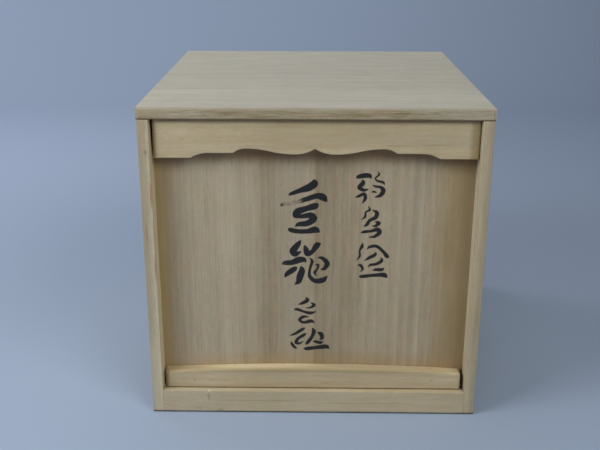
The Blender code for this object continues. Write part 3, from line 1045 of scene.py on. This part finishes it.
# Each block's middle is in mm. A stroke is a line of points in tenths of a mm from there: x, z, how wide the
# brush is pressed, and, where it runs dry, how dry it is in tenths.
brushwork = {
    "first": {"middle": (-7.2, 164.2), "strokes": [
        [(62, 210, 12), (70, 184, 54), (30, 154, 56), (-36, 130, 38), (-98, 106, 26), (-116, 96, 8)],
        [(-170, 18, 18, 3), (-158, 24, 30, 5), (-105, 30, 30, 6.4), (-45, 46, 32, 5.6), (15, 66, 38, 2),
         (90, 90, 44), (132, 80, 54), (156, 54, 22)],
        [(94, 28, 12), (74, 12, 50), (10, -8, 44), (-52, -32, 52), (-70, -64, 34), (-20, -68, 34),
         (44, -60, 48), (66, -88, 52), (18, -122, 46), (-42, -130, 34), (-68, -146, 10)],
        [(-120, -166, 8), (-100, -176, 36), (-44, -186, 36), (24, -184, 38), (76, -172, 52),
         (108, -188, 14)],
    ]},
    "second": {"middle": (-6.5, 121.2), "strokes": [
        [(-36, 172, 9), (-56, 142, 40), (-92, 90, 54), (-74, 64, 42), (-34, 84, 10)],
        [(-6, 132, 10), (2, 104, 38), (16, 68, 46), (52, 86, 34), (84, 134, 46), (108, 148, 12)],
        [(-170, -16, 14, 1), (-150, -8, 36, 3.5), (-100, -4, 42), (-52, 16, 52), (-14, 20, 38), (2, 0, 10)],
        [(-66, -42, 10), (-88, -60, 42), (-134, -94, 38), (-156, -122, 10)],
        [(-34, -38, 12), (-26, -70, 46), (-42, -122, 52), (-52, -160, 38), (-80, -182, 8)],
        [(32, 32, 8), (50, 6, 24), (34, -56, 20), (32, -114, 28), (72, -152, 36), (130, -146, 44),
         (164, -114, 10)],
        [(94, 36, 9), (126, 32, 28), (162, -8, 40), (144, -50, 30), (116, -60, 8)],
        [(76, -20, 7), (96, -24, 20), (88, -58, 16), (70, -82, 22), (80, -108, 8)],
    ]},
    "third": {"middle": (-6.3, 81), "strokes": [
        [(2, 112, 8), (14, 90, 30), (-20, 66, 26), (-52, 54, 8)],
        [(42, 68, 8), (64, 50, 26), (38, 28, 18), (4, 24, 7)],
        [(-86, 8, 8), (-62, 12, 24), (-16, -6, 20), (36, -18, 28), (78, -6, 8)],
        [(24, -50, 8), (-16, -50, 24), (-46, -76, 24), (-14, -98, 22), (40, -86, 30), (68, -98, 8)],
    ]},
    "fourth": {"middle": (-3.1, 57.4), "strokes": [
        [(-36, 92, 8), (-60, 76, 26), (-110, 42, 22), (-150, 26, 8)],
        [(-26, 44, 8), (-46, 30, 26), (-88, 0, 24), (-104, -34, 28), (-76, -42, 18), (-52, -24, 8)],
        [(-142, -30, 8), (-134, -52, 24), (-112, -78, 20), (-98, -82, 8)],
        [(22, 90, 9), (32, 62, 32), (18, 16, 28), (-12, -30, 30), (-30, -50, 8)],
        [(60, 54, 8), (88, 40, 34), (96, 6, 28), (78, -8, 8)],
        [(26, -22, 8), (50, -26, 24), (84, -34, 26), (104, -24, 8)],
        [(-44, -88, 9), (-16, -86, 32), (42, -78, 30), (102, -70, 38), (132, -68, 34), (152, -84, 9)],
    ]},
    "fifth": {"middle": (40.2, 179.7), "strokes": [
        [(-100, 74, 9), (-80, 84, 32), (-34, 92, 38), (-4, 90, 30), (8, 70, 8)],
        [(-54, 60, 8), (-52, 34, 34), (-78, 2, 30), (-46, -18, 26), (-12, -12, 8)],
        [(-102, -72, 8), (-78, -64, 22), (-40, -48, 24), (-32, -82, 26), (-52, -118, 8)],
        [(56, 122, 6), (64, 100, 16), (38, 72, 12), (52, 52, 16), (92, 42, 20), (106, 24, 6)],
        [(18, 20, 6), (40, 10, 18), (76, 4, 22), (98, -18, 34), (80, -56, 30), (42, -72, 10)],
        [(14, -34, 6), (30, -30, 18), (50, -36, 6)],
    ]},
    "sixth": {"middle": (41.4, 153), "strokes": [
        [(-18, 122, 6), (-8, 98, 18), (-38, 78, 14), (-42, 44, 20), (-68, 20, 6)],
        [(14, 94, 9), (44, 76, 30), (36, 40, 32), (-8, 14, 24), (-26, -16, 26), (-48, -32, 8)],
        [(34, 6, 7), (60, -4, 30), (40, -26, 22), (12, -28, 7)],
        [(-70, -82, 7), (-44, -74, 24), (6, -68, 22), (50, -56, 34), (68, -78, 34), (34, -110, 24),
         (-8, -116, 8)],
    ]},
    "seventh": {"middle": (43.3, 123), "strokes": [
        [(-74, 136, 6), (-78, 110, 26), (-94, 76, 14), (-92, 34, 18), (-114, 0, 6)],
        [(-106, -40, 6), (-84, -42, 24), (-68, -72, 18), (-86, -94, 6)],
        [(-40, 88, 6), (-18, 108, 22), (30, 112, 26), (76, 76, 24), (108, 36, 32), (124, 24, 8)],
        [(26, 66, 6), (20, 44, 26), (-24, 18, 24), (-56, -4, 7)],
        [(68, 22, 6), (72, -4, 26), (34, -30, 24), (-10, -38, 20), (-28, -56, 6)],
        [(6, -82, 6), (32, -76, 24), (74, -76, 26), (92, -62, 7)],
        [(-94, -132, 8), (-68, -132, 28), (-10, -124, 26), (60, -118, 32), (96, -120, 38), (118, -138, 9)],
    ]},
}
brushReach = {
    "step": 0.45,               # mm between the points that a stroke is drawn with
    "blank": 4.0,               # mm from any stroke, for wood that none comes near
    "margin": 5.0,              # mm round a stroke in which its distance is taken
    "faceDepth": 0.3,           # mm that count as the front face
    "apart": 7.3,               # mm between two strokes' patterns of brush hairs
}


def strokeLine(stroke):
    # A smooth curve through a stroke's points: x, z, half width and dryness, all in mm but the last
    marks = np.array([(*mark, 0)[:4] for mark in stroke]) / 10
    marks[:, 2] /= 2
    marks = np.vstack([2 * marks[0] - marks[1], marks, 2 * marks[-1] - marks[-2]])
    line = []
    for before, start, end, after in zip(marks, marks[1:], marks[2:], marks[3:]):
        count = max(2, round(np.hypot(*(end - start)[:2]) / brushReach["step"]))
        for t in np.arange(count) / count:
            bend = 2 * before - 5 * start + 4 * end - after
            twist = 3 * start - before - 3 * end + after
            line.append(0.5 * (2 * start + (end - before) * t + bend * t ** 2 + twist * t ** 3))
    line.append(marks[-2])
    line = np.array(line)
    line[:, 2:] = np.maximum(line[:, 2:], 0)
    return line


def paintStrokes(mesh, frontY):
    # For each point of the panel's face: mm to the nearest stroke's edge, and where it lies in that stroke
    count = len(mesh.vertices)
    places = np.empty(count * 3)
    mesh.vertices.foreach_get("co", places)
    places = places.reshape(-1, 3) * 1000
    edge = np.full(count, brushReach["blank"])
    across, along, dryness = np.zeros((3, count))
    onFace = places[:, 1] < frontY * 1000 + brushReach["faceDepth"]
    strokes = [(block["middle"], stroke) for block in brushwork.values() for stroke in block["strokes"]]
    for number, (middle, stroke) in enumerate(strokes, 1):
        line = strokeLine(stroke)
        line[:, :2] += middle
        least = line[:, :2].min(axis=0) - brushReach["margin"]
        most = line[:, :2].max(axis=0) + brushReach["margin"]
        flat = places[:, [0, 2]]
        inReach = np.flatnonzero(onFace & (flat > least).all(axis=1) & (flat < most).all(axis=1))
        spots = flat[inReach]
        walked = 0.0
        for start, end in zip(line, line[1:]):
            run = (end - start)[:2]
            stride = np.hypot(*run)
            share = np.clip((spots - start[:2]) @ run / stride ** 2, 0, 1)
            offset = spots - start[:2] - share[:, None] * run
            distance = np.hypot(offset[:, 0], offset[:, 1]) - start[2] - share * (end[2] - start[2])
            nearer = distance < edge[inReach]
            chosen = inReach[nearer]
            edge[chosen] = distance[nearer]
            side = (run[0] * offset[:, 1] - run[1] * offset[:, 0]) / stride
            across[chosen] = side[nearer] + brushReach["apart"] * number
            along[chosen] = walked + share[nearer] * stride
            dryness[chosen] = start[3] + share[nearer] * (end[3] - start[3])
            walked += stride
    brush = np.stack([edge, across, along], axis=1)
    mesh.attributes.new("brush", "FLOAT_VECTOR", "POINT").data.foreach_set("vector", brush.ravel())
    mesh.attributes.new("dryness", "FLOAT", "POINT").data.foreach_set("value", dryness)


def makeDoorPanel():
    low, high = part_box("door_panel")
    low.x -= doorPanel["fit"]
    high.x += doorPanel["fit"]
    block = sawBlock(low, high)
    inkLeft, inkFoot = doorPanel["inkLow"]
    inkRight, inkTop = doorPanel["inkHigh"]
    inkMiddle = (inkFoot + inkTop) / 2
    margin = doorPanel["inkMargin"]
    for axis, inkPlaces in ((0, [inkLeft, inkRight]), (2, [inkFoot, inkMiddle, inkTop])):
        outside = [place for place in cutPlaces(low[axis], high[axis], doorPanel["step"])
                   if not inkPlaces[0] - margin < place < inkPlaces[-1] + margin]
        cutAcross(block, axis, outside + inkPlaces)

    def share(a, b):
        # The sides stand tight in their grooves
        atSide = min(abs(a.x), abs(b.x)) > high.x - hair
        return doorPanel["sideEase"] / doorPanel["ease"] if atSide else 1.0

    roundEdges(block, doorPanel["ease"], 3, share)
    inked = [face for face in block.faces if face.calc_center_median().y < low.y + hair
             and inkLeft < face.calc_center_median().x < inkRight
             and inkFoot < face.calc_center_median().z < inkTop]
    edges = list({edge for face in inked for edge in face.edges})
    cuts = round((inkRight - inkLeft) / doorPanel["cell"]) - 1
    bmesh.ops.subdivide_edges(block, edges=edges, cuts=cuts, use_grid_fill=True)
    piece = finishPiece("door_panel_inked", "door_panel", block,
                        "paulownia door panel, planed and inked", doorPanel["wood"])
    paintStrokes(piece.data, low.y)


makeDoorPanel()
